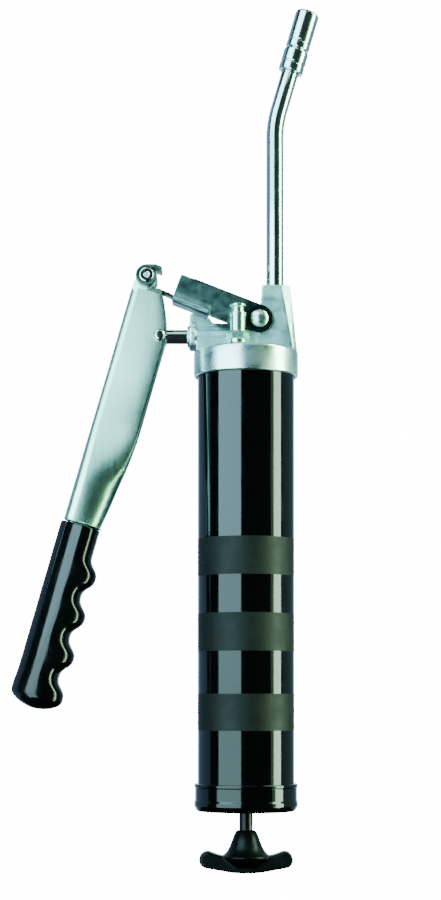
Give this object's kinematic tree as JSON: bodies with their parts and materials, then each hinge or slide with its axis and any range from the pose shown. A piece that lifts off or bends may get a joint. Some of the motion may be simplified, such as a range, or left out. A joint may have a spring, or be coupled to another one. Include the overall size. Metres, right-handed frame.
{
  "type": "lever grease gun",
  "caption": "Lever grease gun with a cylindrical cartridge barrel, cast pump head, toggle lever with moulded grip, bent spout and coupler, and a follower rod with T-handle.",
  "frame": {"origin": "centre of the open lower face of the pump head's collar, on the barrel's axis", "axes": "+Z along the barrel's axis towards the spout, +X from the lever towards the outlet, +Y across the linkage pins, away from the vent valve"},
  "size_m": [0.1813, 0.0616, 0.5096],
  "materials": {
    "cast_aluminium": "cast, light satin",
    "black_enamel": "high gloss",
    "black_plastic": "gloss",
    "bright_plate": "zinc plated, satin",
    "dark_plate": "dark grey-green plated",
    "chrome": "polished",
    "spring_steel": "drawn wire",
    "brass": "turned",
    "seal_rubber": "matt"
  },
  "bodies": {
    "root": {"pump_head": "cast_aluminium", "grease_barrel": "black_enamel", "head_gasket": "seal_rubber", "barrel_end_cap": "black_enamel", "rod_guide_bush": "black_plastic", "gland_nut": "bright_plate", "gland_packing": "seal_rubber", "check_valve_seat": "brass", "check_valve_spring": "spring_steel", "spout_pipe": "chrome", "coupler_body": "chrome", "coupler_sleeve": "chrome", "coupler_jaw_1": "spring_steel", "coupler_jaw_2": "spring_steel", "coupler_jaw_3": "spring_steel", "coupler_jaw_4": "spring_steel", "coupler_spring": "spring_steel", "vent_valve_body": "bright_plate", "vent_valve_spring": "spring_steel", "vent_washer": "brass", "head_pivot_pin": "chrome", "pivot_clip": "spring_steel", "follower_spring": "spring_steel"},
    "link": {"toggle_link": "dark_plate", "link_pin": "chrome"},
    "lever": {"lever_arm": "bright_plate", "lever_grip": "black_plastic", "plunger_pin": "chrome"},
    "plunger": {"pump_plunger": "chrome"},
    "follower": {"follower_cup": "seal_rubber", "follower_lower_plate": "bright_plate", "follower_upper_plate": "bright_plate"},
    "handle": {"follower_rod": "black_enamel", "follower_nut": "bright_plate", "t_handle": "black_plastic", "handle_pin": "spring_steel"},
    "vent_stem": {"vent_valve_stem": "bright_plate"},
    "check_ball": {"check_valve_ball": "chrome"},
    "coupler_piston": {"coupler_seal_piston": "seal_rubber"}
  },
  "joints": [
    {"name": "link_rock", "type": "hinge", "parent": "root", "child": "link", "pos_m": [0.0078, 0, 0.033], "axis": [0, 1, 0], "range_deg": [-1.5, 0.6]},
    {"name": "lever_swing", "type": "hinge", "parent": "link", "child": "lever", "pos_m": [-0.0584, 0, 0.0586], "axis": [0, 1, 0], "range_deg": [-14, 36]},
    {"name": "plunger_stroke", "type": "slide", "parent": "root", "child": "plunger", "axis": [1, 0, 0], "range_m": [-0.022, 0.0085]},
    {"name": "rod_pull", "type": "slide", "parent": "root", "child": "follower", "axis": [0, 0, -1], "range_m": [0, 0.19], "deforming": ["follower_spring"]},
    {"name": "rod_turn", "type": "hinge", "parent": "follower", "child": "handle", "pos_m": [0, 0, -0.2667], "axis": [0, 0, 1], "continuous": true},
    {"name": "vent_press", "type": "slide", "parent": "root", "child": "vent_stem", "axis": [0, 0, -1], "range_m": [0, 0.002], "stiffness_N_per_m": 900, "springref_m": -0.002, "deforming": ["vent_valve_spring"]},
    {"name": "check_ball_lift", "type": "slide", "parent": "root", "child": "check_ball", "axis": [0, 0, 1], "range_m": [0, 0.001], "stiffness_N_per_m": 300, "springref_m": -0.001},
    {"name": "coupler_piston_press", "type": "slide", "parent": "root", "child": "coupler_piston", "axis": [-0.284, 0, -0.9588], "range_m": [0, 0.0015], "stiffness_N_per_m": 1500, "springref_m": -0.001}
  ],
  "couplings": [
    {"joint": "link_rock", "follows": "lever_swing", "ratio": -0.04},
    {"joint": "plunger_stroke", "follows": "lever_swing", "m_per_rad": -0.03415}
  ]
}
